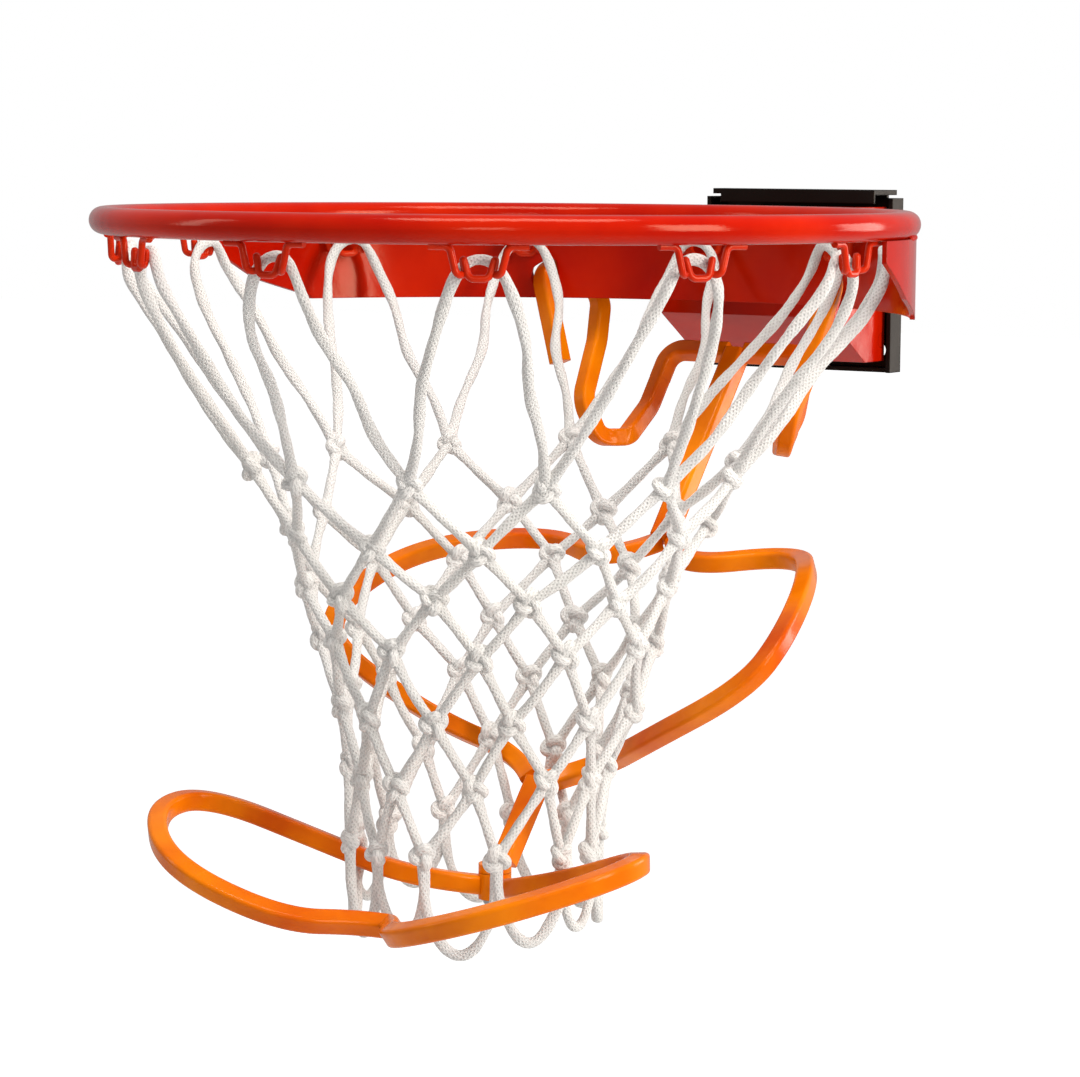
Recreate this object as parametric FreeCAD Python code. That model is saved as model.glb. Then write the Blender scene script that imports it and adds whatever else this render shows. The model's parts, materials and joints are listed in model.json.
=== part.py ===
import FreeCAD, Part
import math
import os

V = FreeCAD.Vector

# Basketball rim with its net and a bent-bar ball return.
# Everything is drawn in millimetres about the ring's centre: +X right, +Y towards the backboard, +Z up.
# The saved parts are moved so that the origin is the centre of the bolt pattern, on the backboard's face.

# --- driving dimensions -------------------------------------------------------------------------------
RING_INNER_DIA = 457.2          # regulation 18 inch opening
RING_BAR_DIA = 15.9
RING_REACH = 381.0              # ring centre to the backboard's face
RING_RISE = 47.0                # ring centre above the bolt pattern's centre

PLATE_HALF_WIDTH = 72.0         # black back plate
PLATE_HEIGHT = 118.0
PLATE_THICK = 3.0
PLATE_FLANGE = 16.0             # how far its flanges stand off the backboard
BOLT_SPACING_X = 114.3
BOLT_SPACING_Z = 88.9
BOLT_HOLE_DIA = 10.4
BOTTOM_FLANGE_STEP = 4.0        # how much shorter the bottom flange is than the side ones

BAND_THICK = 3.0                # sheet brace round the rear half of the ring
BAND_DEPTH = 55.0               # its lower edge below the ring's centre
BAND_HALF_ANGLE = 85.0          # degrees each side of the backboard direction
BAND_FULL_DEPTH_ANGLE = 66.0    # where the slanted ends reach full depth
BAND_END_DEPTH = 20.0
BAND_INSET = 2.5                # outer face of the band inside the ring's outermost line
BAND_TOP_GAP = 0.05             # under the ring, where the weld runs
BAND_END_LEAN = 4.0             # how far the slanted ends bulge below a straight line
BAND_END_LIP = 2.0
NECK_HALF_WIDTH = 52.0          # box of sheet between the band and the housing
NECK_BACK = 150.0
NECK_TOP = 5.0
NECK_BOTTOM_RISE = 8.0          # its underside above the band's lower edge

HOUSING_HALF_WIDTH = 65.0       # red cover of the breakaway mechanism
HOUSING_THICK = 3.0
HOUSING_FRONT = 90.0            # front face ahead of the backboard
HOUSING_TOP = 6.0               # above the ring's centre
HOUSING_FRONT_DEPTH = 66.0      # front face's lower edge below the ring's centre
HOUSING_REAR_DEPTH = 98.0
HOUSING_REAR_LENGTH = 28.0      # level stretch of the underside at the rear
HOUSING_GAP = 8.0               # between the housing and the back plate

HINGE_BACK = 15.0               # hinge axis ahead of the backboard
HINGE_DEPTH = 84.0              # hinge axis below the ring's centre
PIN_DIA = 10.0
PIN_RUNNING_GAP = 0.05
EAR_THICK = 4.0
EAR_GAP = 1.0                   # between each ear and the housing's side
EAR_NOSE_RADIUS = 9.0
EAR_HEIGHT = 26.0
EAR_ROOT_DEPTH = 2.0            # upright stretch of the ear against the back plate
PIN_SET_BACK = 0.2              # pin's ends below the housing's sides
CLIP_GAP = 0.3
CLIP_THICK = 1.2
CLIP_DIA = 17.0

STUD_SPACING = 64.0             # two spring studs
STUD_DEPTH = 40.0               # below the ring's centre
STUD_DIA = 10.0
STUD_LENGTH = 74.0
STUD_END = 3.0                  # stud beyond its nut
SPRING_DIA = 22.0
SPRING_WIRE = 3.4
SPRING_TURNS = 6
PRESSURE_PLATE_THICK = 4.0
PRESSURE_PLATE_BACK = 14.0      # its rear face ahead of the backboard
PRESSURE_PLATE_DEPTH = 66.0     # its lower edge below the ring's centre
STUD_SLOT_SIDE = 1.0            # room round each stud as the plate tips
STUD_SLOT_BELOW = 7.0
STUD_SLOT_ABOVE = 13.0
SPRING_SEAT_GAP = 0.2
WASHER_DIA = 28.0
WASHER_THICK = 2.5
NUT_WIDTH = 16.0
NUT_THICK = 9.0

COVER_THICK = 3.5               # black top cover
COVER_FRONT = 34.0
COVER_INSET = 5.0               # narrower than the back plate by this much each side
COVER_LIP = 5.5
COVER_LIP_THICK = 2.0
COVER_CLEARANCE = 2.0           # above the back plate
COVER_STEP = 10.0               # how far its nose is set in on the left
COVER_LIP_STEP = 16.0
COVER_FOOT_INSET = 6.0

HOOK_COUNT = 12
HOOK_WIRE = 4.0
HOOK_HALF_WIDTH = 26.5
HOOK_DROP = 15.0
HOOK_INSET = 3.5                # wire's line inside the ring bar's middle line, clear of the band
HOOK_BITE = 0.5                 # how far the feet sink into the ring's weld
HOOK_DEPTH = 4.6                # from the legs back to the wires behind them
HOOK_CROWN = 2.0                # the middle bend hangs this far below the legs
HOOK_BEND = 4.0

ARM_FLAT = V(0.95, 0.2, -0.1)   # direction that the arms' side faces keep to
BAR = 11.6                      # square bar of the ball return
BAR_CORNER = 2.2
STEM_BAR = 14.6
STEM_CORNER = 2.8
LOWER_STEM_BAR = 13.0
LOWER_STEM_CORNER = 2.4
HALF_GAP = 0.15                 # between the two halves of the guard loop

SWIVEL_PIN_DIA = 8.0
SWIVEL_HUB_DIA = 20.0
SWIVEL_HUB_HEIGHT = 16.0
SWIVEL_GAP = 0.3                # above and below the hub
SWIVEL_HEAD_DIA = 14.0
SWIVEL_HEAD_HEIGHT = 3.5
SWIVEL_HEAD_ROUND = 1.5
SWIVEL_CAP_THICK = 5.0

ARM_HOLE_CLEARANCE = 2.0

CORD_DIA = 6.6                  # braided net cord
LOOP_DROP = 84.0                # free loops below the net's last knots
LOOP_RADIUS = 72.0
LOOP_MIDDLE_Y = -38.0
LOOP_ANGLES = (14, 32, 60, 90, 120, 148, 164)   # degrees each side of the front

# --- values worked out from them ----------------------------------------------------------------------
RING_RADIUS = RING_INNER_DIA / 2 + RING_BAR_DIA / 2
BAR_RADIUS = RING_BAR_DIA / 2
BAND_OUTER = RING_RADIUS + BAR_RADIUS - BAND_INSET
BAND_INNER = BAND_OUTER - BAND_THICK
BAND_TOP = -math.sqrt(BAR_RADIUS**2 - (BAND_INNER - RING_RADIUS) ** 2) - BAND_TOP_GAP
BOARD = RING_REACH
PLATE_TOP = PLATE_HEIGHT / 2 - RING_RISE
PLATE_BOTTOM = PLATE_TOP - PLATE_HEIGHT
HINGE_Y = BOARD - HINGE_BACK
HINGE_Z = -HINGE_DEPTH
HOUSING_Y = BOARD - HOUSING_FRONT
HOUSING_REAR_Y = BOARD - PLATE_THICK - HOUSING_GAP
HOUSING_INNER = HOUSING_HALF_WIDTH - HOUSING_THICK
EAR_OUTER = HOUSING_INNER - EAR_GAP


def save(name, shape):
    """Move a part from the ring's centre to the bolt pattern's centre and write it."""
    moved = shape.copy()
    moved.translate(V(0, -RING_REACH, RING_RISE))
    moved.exportStep("parts/" + name + ".step")
    print(name, "valid", moved.isValid(), "solids", len(moved.Solids), "volume", round(moved.Volume))


def box(x0, x1, y0, y1, z0, z1):
    return Part.makeBox(x1 - x0, y1 - y0, z1 - z0, V(x0, y0, z0))


def mirrored(shape):
    """The other hand of a part, across the plane X = 0."""
    return shape.mirror(V(0, 0, 0), V(1, 0, 0))


def extruded_outline(points, direction):
    """A prism from a flat outline."""
    face = Part.Face(Part.makePolygon(points + [points[0]]))
    return face.extrude(direction)


def rounded_path(points, radii):
    """Straight runs joined by tangent arcs: one radius for each inner point."""
    edges = []
    start = points[0]
    for i in range(1, len(points) - 1):
        corner = points[i]
        back = (points[i - 1] - corner).normalize()
        ahead = (points[i + 1] - corner).normalize()
        turn = math.pi - back.getAngle(ahead)
        cut = radii[i - 1] * math.tan(turn / 2)
        arc_start = corner + back * cut
        arc_end = corner + ahead * cut
        middle_dir = (back + ahead).normalize()
        middle = corner + middle_dir * (radii[i - 1] / math.cos(turn / 2) - radii[i - 1])
        edges.append(Part.LineSegment(start, arc_start).toShape())
        edges.append(Part.Arc(arc_start, middle, arc_end).toShape())
        start = arc_end
    edges.append(Part.LineSegment(start, points[-1]).toShape())
    return Part.Wire(edges)


def smooth_radii(points, share=0.45):
    """The largest tangent arcs that the runs beside each point allow."""
    radii = []
    for a, b, c in zip(points, points[1:], points[2:]):
        turn = math.pi - (a - b).getAngle(c - b)
        shorter = min((b - a).Length, (c - b).Length)
        radii.append(share * shorter / math.tan(turn / 2))
    return radii


def curved_path(points):
    """One smooth curve that touches the middle of every run between its points."""
    inner = len(points) - 3
    knots = [i / (inner + 1) for i in range(inner + 2)]
    curve = Part.BSplineCurve()
    curve.buildFromPolesMultsKnots(points, [3] + [1] * inner + [3], knots, False, 2)
    return Part.Wire([curve.toShape()])


def square_section(centre, along, side_hint, size, corner):
    """A square outline with rounded corners, square to a direction."""
    w = V(along).normalize()
    u = side_hint - w * side_hint.dot(w)
    u.normalize()
    v = w.cross(u)
    half = size / 2
    flat = half - corner
    diagonal = flat + corner * math.sqrt(0.5)
    edges = []
    for k in range(4):
        turn = math.pi / 2 * k
        e = u * math.cos(turn) + v * math.sin(turn)
        f = v * math.cos(turn) - u * math.sin(turn)
        side_start = centre + e * half - f * flat
        side_end = centre + e * half + f * flat
        next_start = centre + e * flat + f * half
        edges.append(Part.LineSegment(side_start, side_end).toShape())
        edges.append(Part.Arc(side_end, centre + (e + f) * diagonal, next_start).toShape())
    return Part.Wire(edges)


def square_bar(path, start, ahead, size, corner, side_hint):
    """A square bar along a path that sets out from one point towards another."""
    section = square_section(start, ahead - start, side_hint, size, corner)
    return path.makePipeShell([section], True, False)


def level_bar(path, start, ahead, size, corner):
    """A square bar that keeps one pair of faces square to ARM_FLAT, however its path turns."""
    section = square_section(start, ahead - start, ARM_FLAT, size, corner)
    sweep = Part.BRepOffsetAPI.MakePipeShell(path)
    sweep.setBiNormalMode(ARM_FLAT)
    sweep.add(section)
    sweep.build()
    sweep.makeSolid()
    return sweep.shape()


# --- ring and brace -----------------------------------------------------------------------------------
def rim_ring():
    return Part.makeTorus(RING_RADIUS, BAR_RADIUS)


def brace_band():
    """Rolled sheet under the rear half of the ring, with slanted ends and a hole for each arm."""
    foot = V(0, 0, -BAND_DEPTH)
    outer = Part.makeCylinder(BAND_OUTER, BAND_DEPTH + BAND_TOP, foot)
    inner = Part.makeCylinder(BAND_INNER, BAND_DEPTH + BAND_TOP, foot)
    reach = BAND_OUTER + 20
    end_y = BAND_OUTER * math.cos(math.radians(BAND_HALF_ANGLE))
    full_y = BAND_OUTER * math.cos(math.radians(BAND_FULL_DEPTH_ANGLE))
    middle_z = -(BAND_END_DEPTH + BAND_DEPTH) / 2 - BAND_END_LEAN
    waste = extruded_outline(
        [
            V(-reach, -reach, 1),
            V(-reach, end_y, 1),
            V(-reach, end_y, -BAND_END_DEPTH),
            V(-reach, (end_y + full_y) / 2, middle_z),
            V(-reach, full_y, -BAND_DEPTH + BAND_END_LIP),
            V(-reach, full_y + BAND_END_LIP, -BAND_DEPTH - 1),
            V(-reach, -reach, -BAND_DEPTH - 1),
        ],
        V(2 * reach, 0, 0),
    )
    return outer.cut(inner).cut(waste).cut(arm_holes())


# --- net hooks ----------------------------------------------------------------------------------------
def net_hook():
    """One bent wire at the front of the ring: two welded feet, two legs and the loop between them."""
    top = -math.sqrt(BAR_RADIUS**2 - HOOK_INSET**2) - HOOK_WIRE / 2 + HOOK_BITE
    low = top - HOOK_DROP
    half = [
        V(HOOK_HALF_WIDTH * 0.20, HOOK_DEPTH / 2, low - HOOK_CROWN),
        V(HOOK_HALF_WIDTH * 0.36, HOOK_DEPTH, top - HOOK_CROWN),
        V(HOOK_HALF_WIDTH * 0.44 - HOOK_WIRE * 1.1, HOOK_DEPTH, low),
        V(HOOK_HALF_WIDTH * 0.44, 0, low),
        V(HOOK_HALF_WIDTH * 0.58, 0, top),
        V(HOOK_HALF_WIDTH, 0, top),
    ]
    points = [V(-p.x, p.y, p.z) for p in reversed(half)] + half
    path = rounded_path(points, [min(r, HOOK_BEND) for r in smooth_radii(points)])
    circle = Part.Wire(Part.Circle(points[0], V(1, 0, 0), HOOK_WIRE / 2).toShape())
    wire = path.makePipeShell([circle], True, False)
    return wire.translated(V(0, -RING_RADIUS + HOOK_INSET, 0)).cut(rim_ring())


# --- breakaway mechanism ------------------------------------------------------------------------------
def back_plate():
    """Folded black plate with four bolt holes and flanges down the sides and along the bottom."""
    w = PLATE_HALF_WIDTH
    t = PLATE_THICK
    front = BOARD - PLATE_FLANGE
    plate = box(-w, w, BOARD - t, BOARD, PLATE_BOTTOM, PLATE_TOP)
    flanges = [
        box(-w, -w + t, front, BOARD, PLATE_BOTTOM, PLATE_TOP),
        box(w - t, w, front, BOARD, PLATE_BOTTOM, PLATE_TOP),
        box(-w, w, front + BOTTOM_FLANGE_STEP, BOARD, PLATE_BOTTOM, PLATE_BOTTOM + t),
    ]
    plate = plate.multiFuse(flanges).removeSplitter()
    for sx in (-1, 1):
        for sz in (-1, 1):
            centre = V(sx * BOLT_SPACING_X / 2, BOARD + 1, -RING_RISE + sz * BOLT_SPACING_Z / 2)
            plate = plate.cut(Part.makeCylinder(BOLT_HOLE_DIA / 2, t + 2, centre, V(0, -1, 0)))
    return plate


def top_cover():
    """Thin black cover over the mechanism, with a lip turned down at its front."""
    w = PLATE_HALF_WIDTH - COVER_INSET
    low = max(PLATE_TOP, HOUSING_TOP) + COVER_CLEARANCE
    front = BOARD - COVER_FRONT
    flat = box(-w, w, BOARD - PLATE_FLANGE, BOARD, low, low + COVER_THICK)
    nose = box(-w + COVER_STEP, w, front, BOARD - PLATE_FLANGE, low, low + COVER_THICK)
    lip = box(-w + COVER_LIP_STEP, w, front, front + COVER_LIP_THICK, low - COVER_LIP, low)
    inset = w - COVER_FOOT_INSET
    foot = box(-inset, inset, BOARD - PLATE_THICK, BOARD, PLATE_TOP, low)
    return flat.multiFuse([nose, lip, foot]).removeSplitter()


def hinge_ear(side):
    """Black ear that stands off the back plate and carries the pin."""
    x0 = EAR_OUTER - EAR_THICK
    root = BOARD - PLATE_THICK
    top = HINGE_Z + EAR_HEIGHT
    web = extruded_outline(
        [
            V(x0, HINGE_Y, HINGE_Z - EAR_NOSE_RADIUS / 2),
            V(x0, root, HINGE_Z - EAR_NOSE_RADIUS / 2),
            V(x0, root, top),
            V(x0, root - EAR_ROOT_DEPTH, top),
            V(x0, HINGE_Y, HINGE_Z + EAR_NOSE_RADIUS),
        ],
        V(EAR_THICK, 0, 0),
    )
    nose = Part.makeCylinder(EAR_NOSE_RADIUS, EAR_THICK, V(x0, HINGE_Y, HINGE_Z), V(1, 0, 0))
    ear = web.fuse(nose).removeSplitter()
    ear = ear.cut(Part.makeCylinder(PIN_DIA / 2, EAR_THICK + 2, V(x0 - 1, HINGE_Y, HINGE_Z), V(1, 0, 0)))
    return ear if side > 0 else mirrored(ear)


def hinge_pin():
    reach = HOUSING_HALF_WIDTH - PIN_SET_BACK
    return Part.makeCylinder(PIN_DIA / 2, 2 * reach, V(-reach, HINGE_Y, HINGE_Z), V(1, 0, 0))


def pin_clip(side):
    """Flat retaining ring on the pin, inside the ear."""
    x0 = EAR_OUTER - EAR_THICK - CLIP_GAP - CLIP_THICK
    ring = Part.makeCylinder(CLIP_DIA / 2, CLIP_THICK, V(x0, HINGE_Y, HINGE_Z), V(1, 0, 0))
    ring = ring.cut(Part.makeCylinder(PIN_DIA / 2, CLIP_THICK + 2, V(x0 - 1, HINGE_Y, HINGE_Z), V(1, 0, 0)))
    return ring if side > 0 else mirrored(ring)


def spring_stud(side):
    start = V(side * STUD_SPACING / 2, BOARD - PLATE_THICK, -STUD_DEPTH)
    return Part.makeCylinder(STUD_DIA / 2, STUD_LENGTH, start, V(0, -1, 0))


def stud_nut(side):
    """Hexagonal lock nut near the stud's free end."""
    y = BOARD - PLATE_THICK - STUD_LENGTH + STUD_END
    radius = NUT_WIDTH / math.sqrt(3)
    corners = []
    for k in range(6):
        angle = math.radians(60 * k)
        corners.append(
            V(side * STUD_SPACING / 2 + radius * math.cos(angle), y, -STUD_DEPTH + radius * math.sin(angle))
        )
    nut = extruded_outline(corners, V(0, NUT_THICK, 0))
    return nut.cut(spring_stud(side))


def stud_washer(side):
    y = BOARD - PLATE_THICK - STUD_LENGTH + STUD_END + NUT_THICK
    centre = V(side * STUD_SPACING / 2, y, -STUD_DEPTH)
    disc = Part.makeCylinder(WASHER_DIA / 2, WASHER_THICK, centre, V(0, 1, 0))
    return disc.cut(spring_stud(side))


def spring_space():
    """Where the springs sit, from the pressure plate forward to the washers."""
    rear = BOARD - PRESSURE_PLATE_BACK - PRESSURE_PLATE_THICK
    front = BOARD - PLATE_THICK - STUD_LENGTH + STUD_END + NUT_THICK + WASHER_THICK
    return front, rear


def spring(side):
    """Compression spring round the stud, with its ends a little clear of the seats."""
    front, rear = spring_space()
    seat = SPRING_WIRE / 2 + SPRING_SEAT_GAP
    length = rear - front - 2 * seat
    helix = Part.makeHelix(length / SPRING_TURNS, length, (SPRING_DIA - SPRING_WIRE) / 2)
    radius = (SPRING_DIA - SPRING_WIRE) / 2
    section = Part.Wire(Part.Circle(V(radius, 0, 0), V(0, 1, 0), SPRING_WIRE / 2).toShape())
    coil = Part.Wire(helix.Edges).makePipeShell([section], True, True)
    coil.rotate(V(0, 0, 0), V(1, 0, 0), -90)
    return coil.translated(V(side * STUD_SPACING / 2, front + seat, -STUD_DEPTH))


def pressure_plate():
    """Plate welded across the housing that the springs press on, with a slot for each stud."""
    rear = BOARD - PRESSURE_PLATE_BACK
    front = rear - PRESSURE_PLATE_THICK
    top = HOUSING_TOP - HOUSING_THICK
    plate = box(-HOUSING_INNER, HOUSING_INNER, front, rear, -PRESSURE_PLATE_DEPTH, top)
    half = STUD_DIA / 2 + STUD_SLOT_SIDE
    slot_low = -STUD_DEPTH - STUD_SLOT_BELOW
    slot_high = -STUD_DEPTH + STUD_SLOT_ABOVE
    for side in (-1, 1):
        x = side * STUD_SPACING / 2
        plate = plate.cut(box(x - half, x + half, front - 1, rear + 1, slot_low, slot_high))
    return plate


def housing_outline(inset):
    """Side view of the housing, shrunk inwards by a wall thickness on the front, top and underside."""
    fall = HOUSING_REAR_DEPTH - HOUSING_FRONT_DEPTH
    slope_length = HOUSING_FRONT - HOUSING_REAR_LENGTH - (BOARD - HOUSING_REAR_Y)
    slope = math.atan2(fall, slope_length)
    front = HOUSING_Y + inset
    knee_y = HOUSING_REAR_Y - HOUSING_REAR_LENGTH
    low_front = -HOUSING_FRONT_DEPTH + inset / math.cos(slope) - inset * math.tan(slope)
    shift = inset * math.tan(slope / 2)
    rear = HOUSING_REAR_Y + (1.0 if inset else 0.0)
    return [
        (front, HOUSING_TOP - inset),
        (front, low_front),
        (knee_y + shift, -HOUSING_REAR_DEPTH + inset),
        (rear, -HOUSING_REAR_DEPTH + inset),
        (rear, HOUSING_TOP - inset),
    ]


def housing():
    """Red pressed cover, open at the back, that turns on the pin."""
    w = HOUSING_HALF_WIDTH
    outer = extruded_outline([V(-w, y, z) for y, z in housing_outline(0.0)], V(2 * w, 0, 0))
    inner = extruded_outline(
        [V(-HOUSING_INNER, y, z) for y, z in housing_outline(HOUSING_THICK)], V(2 * HOUSING_INNER, 0, 0)
    )
    shell = outer.cut(inner)
    hole = Part.makeCylinder(
        PIN_DIA / 2 + PIN_RUNNING_GAP, 2 * w + 2, V(-w - 1, HINGE_Y, HINGE_Z), V(1, 0, 0)
    )
    return shell.cut(hole)


def ring_neck():
    """Short box of sheet that joins the band to the housing's front face."""
    half = NECK_HALF_WIDTH
    low = -BAND_DEPTH + NECK_BOTTOM_RISE
    t = HOUSING_THICK
    neck = box(-half, half, NECK_BACK, HOUSING_Y, low, NECK_TOP)
    hollow = box(-half + t, half - t, NECK_BACK - 1, HOUSING_Y + 1, low - 1, NECK_TOP - t)
    keep_out = Part.makeCylinder(BAND_OUTER, BAND_DEPTH + NECK_TOP + 1, V(0, 0, -BAND_DEPTH))
    return neck.cut(hollow).cut(keep_out).cut(rim_ring())


# --- ball return --------------------------------------------------------------------------------------
STEM_TOP = V(0, 282, -91)
STEM_END = V(0, 187, -207)
GUARD_TIP = V(0, 38, -344)
CHUTE_NODE = V(0, -8, -399)
X_HINT = V(1, 0, 0)
Z_HINT = V(0, 0, 1)


def left_of(x):
    """Everything to the left of a plane, for trimming a bar at the middle."""
    return box(-BOARD, x, -BOARD, BOARD, -2 * BOARD, BOARD)


def arm_points():
    """Right arm from its free end inside the band, through the band, round the U and to the stem."""
    return [
        V(90.5, 204, -97),
        V(110, 211, -38),
        V(104, 243, -31),
        V(85, 246, -58),
        V(83, 238, -84),
        V(79, 214, -122),
        V(71, 221, -147),
        V(58, 236, -147.5),
        V(56, 262, -128),
        V(52, 284, -91),
        V(STEM_BAR / 2 - 1.0, 282, -91),
    ]


ARM_RADII = [13.0, 13.0, 16.0, 30.0, 20.0, 12.0, 10.0, 24.0, 12.0]


def arm(side):
    """Bent part that keeps its faces level, then the turn and the short run to the stem."""
    points = arm_points()
    joint = (points[-3] + points[-2]) / 2
    bends = rounded_path(points[:-2] + [joint], ARM_RADII[:-1])
    bent = level_bar(bends, points[0], points[1], BAR, BAR_CORNER)
    start = joint + (points[-3] - joint).normalize()
    path = rounded_path([start] + points[-2:], ARM_RADII[-1:])
    turn = square_bar(path, start, points[-2], BAR, BAR_CORNER, ARM_FLAT)
    bar = bent.fuse(turn).cut(stem())
    return bar if side > 0 else mirrored(bar)


def arm_holes():
    """The holes in the band that the arms pass through."""
    points = arm_points()[:4]
    path = rounded_path(points, ARM_RADII[:2])
    size = BAR + 2 * ARM_HOLE_CLEARANCE
    cutter = level_bar(path, points[0], points[1], size, BAR_CORNER + ARM_HOLE_CLEARANCE)
    return cutter.fuse(mirrored(cutter))


def stem():
    along = STEM_END - STEM_TOP
    section = square_section(STEM_TOP, along, X_HINT, STEM_BAR, STEM_CORNER)
    return Part.Face(section).extrude(along)


def guard_points():
    """Right half of the heart-shaped loop behind the net."""
    return [
        STEM_END + V(BAR / 2 + 0.2, 4, -3),
        V(24, 156, -221),
        V(94, 202, -212),
        V(142, 122, -215),
        V(161, 57, -241),
        V(152, 27, -269),
        V(77, 37, -311),
        V(31, 67, -334),
        V(BAR / 2, 41, -343),
    ]


def guard_loop(side):
    points = guard_points()
    bar = square_bar(curved_path(points), points[0], points[1], BAR, BAR_CORNER, Z_HINT)
    bar = bar.cut(left_of(HALF_GAP))
    bar = bar.cut(stem()).cut(lower_stem())
    return bar if side > 0 else mirrored(bar)


def lower_stem():
    """Square bar from the guard's tip down to the swivel hub."""
    start = GUARD_TIP + (STEM_END - GUARD_TIP).normalize() * 2.0
    end = CHUTE_NODE + (GUARD_TIP - CHUTE_NODE).normalize() * SWIVEL_HUB_HEIGHT
    section = square_section(start, end - start, X_HINT, LOWER_STEM_BAR, LOWER_STEM_CORNER)
    return Part.Face(section).extrude(end - start)


def chute_points():
    """Right half of the heart-shaped loop under the net."""
    return [
        CHUTE_NODE + V(SWIVEL_HUB_DIA / 2 - 2.0, -4, 0),
        V(31, -50, -391),
        V(86, -58, -376),
        V(158, -88, -348),
        V(162, -135, -351),
        V(112, -181, -370),
        V(38, -172, -394),
        V(12, -128, -400),
        V(-1, -118, -403),
    ]


def chute_half():
    points = chute_points()
    bar = square_bar(curved_path(points), points[0], points[1], BAR, BAR_CORNER, Z_HINT)
    return bar.cut(left_of(0))


def chute_loop():
    half = chute_half()
    return half.fuse(mirrored(half)).cut(chute_hub_envelope()).removeSplitter()


def chute_hub_envelope():
    return Part.makeCylinder(
        SWIVEL_HUB_DIA / 2, SWIVEL_HUB_HEIGHT, CHUTE_NODE - V(0, 0, SWIVEL_HUB_HEIGHT / 2)
    )


def chute_hub():
    """Round boss that the chute's bars are welded to and that turns on the swivel bolt."""
    low = CHUTE_NODE - V(0, 0, SWIVEL_HUB_HEIGHT / 2 + 1)
    bore = Part.makeCylinder(SWIVEL_PIN_DIA / 2 + PIN_RUNNING_GAP, SWIVEL_HUB_HEIGHT + 2, low)
    return chute_hub_envelope().cut(bore)


def swivel_bolt():
    """Bolt down through the hub, with a domed head under it."""
    low = CHUTE_NODE - V(0, 0, SWIVEL_HUB_HEIGHT / 2 + SWIVEL_GAP)
    shank = Part.makeCylinder(SWIVEL_PIN_DIA / 2, SWIVEL_HUB_HEIGHT + 2 * SWIVEL_GAP, low)
    under = low - V(0, 0, SWIVEL_HEAD_HEIGHT)
    head = Part.makeCylinder(SWIVEL_HEAD_DIA / 2, SWIVEL_HEAD_HEIGHT, under)
    rim = [e for e in head.Edges if abs(e.BoundBox.ZMax - under.z) < 0.01]
    return shank.fuse(head.makeFillet(SWIVEL_HEAD_ROUND, rim)).removeSplitter()


def swivel_cap():
    """Small plate on the end of the lower stem that holds the swivel bolt."""
    low = CHUTE_NODE + V(0, 0, SWIVEL_HUB_HEIGHT / 2 + SWIVEL_GAP)
    cap = Part.makeCylinder(SWIVEL_HUB_DIA / 2, SWIVEL_CAP_THICK, low)
    return cap.cut(lower_stem())


# --- net ----------------------------------------------------------------------------------------------
# Middle line of the net as it hangs: height, radius, and how far forward the ball return pushes it, in
# widths of its bar.
NET_LEVELS = [
    (-32, 224, 0),
    (-60, 207, 0),
    (-95, 184, 0.2),
    (-145, 146, 0.7),
    (-208, 108, 1.0),
    (-256, 92, 1.3),
    (-303, 79, 2.0),
    (-332, 71, 2.25),
]


def net_shell(levels):
    """Closed thin-walled tube with the net's outer shape, open at the top and the bottom."""
    outer = []
    inner = []
    for z, radius, push in levels:
        centre = V(0, -push * BAR, z)
        outer.append(Part.Wire(Part.Circle(centre, V(0, 0, 1), radius + CORD_DIA / 2).toShape()))
        inner.append(Part.Wire(Part.Circle(centre, V(0, 0, 1), radius - CORD_DIA / 2).toShape()))
    return Part.makeLoft(outer, True, True).cut(Part.makeLoft(inner, True, True))


def net_loops():
    """The free loops at the foot of the net, as plain straight cords."""
    top = NET_LEVELS[-1][0]
    cords = []
    for degrees in LOOP_ANGLES:
        angle = math.radians(degrees)
        for side in (-1, 1):
            foot = V(side * LOOP_RADIUS * math.sin(angle), LOOP_MIDDLE_Y - LOOP_RADIUS * math.cos(angle), top)
            cords.append(Part.makeCylinder(CORD_DIA / 2, LOOP_DROP, foot, V(0, 0, -1)))
    return Part.makeCompound(cords)


# --- write every part ---------------------------------------------------------------------------------
os.makedirs("parts", exist_ok=True)

save("rim_ring", rim_ring())
save("brace_band", brace_band())
for index in range(HOOK_COUNT):
    one = net_hook()
    one.rotate(V(0, 0, 0), V(0, 0, 1), 360.0 / HOOK_COUNT * index)
    save("net_hook_%02d" % (index + 1), one)

save("back_plate", back_plate())
save("top_cover", top_cover())
save("hinge_pin", hinge_pin())
save("housing", housing())
save("ring_neck", ring_neck())
save("pressure_plate", pressure_plate())
for side, word in ((-1, "left"), (1, "right")):
    save("hinge_ear_" + word, hinge_ear(side))
    save("pin_clip_" + word, pin_clip(side))
    save("spring_stud_" + word, spring_stud(side))
    save("stud_nut_" + word, stud_nut(side))
    save("stud_washer_" + word, stud_washer(side))
    save("spring_" + word, spring(side))
    save("arm_" + word, arm(side))
    save("guard_loop_" + word, guard_loop(side))

save("stem", stem())
save("lower_stem", lower_stem())
save("swivel_cap", swivel_cap())
save("swivel_bolt", swivel_bolt())
save("chute_hub", chute_hub())
save("chute_loop", chute_loop())

save("net_top", net_shell(NET_LEVELS[:4]))
save("net_mesh", net_shell(NET_LEVELS[3:]))
save("net_loops", net_loops())
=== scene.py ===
# %% [markdown]
# # Basketball rim with a knotted net and a bent-bar ball return
# The metalwork comes from the CAD model and keeps its shape. This lesson gives it paint, and models what
# CAD leaves plain: the braided net with its knots, the weld beads and the folded edges of the sheet metal.

import json
import math
import random

import bpy
from mathutils import Matrix, Vector
from mathutils.bvhtree import BVHTree


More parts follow.
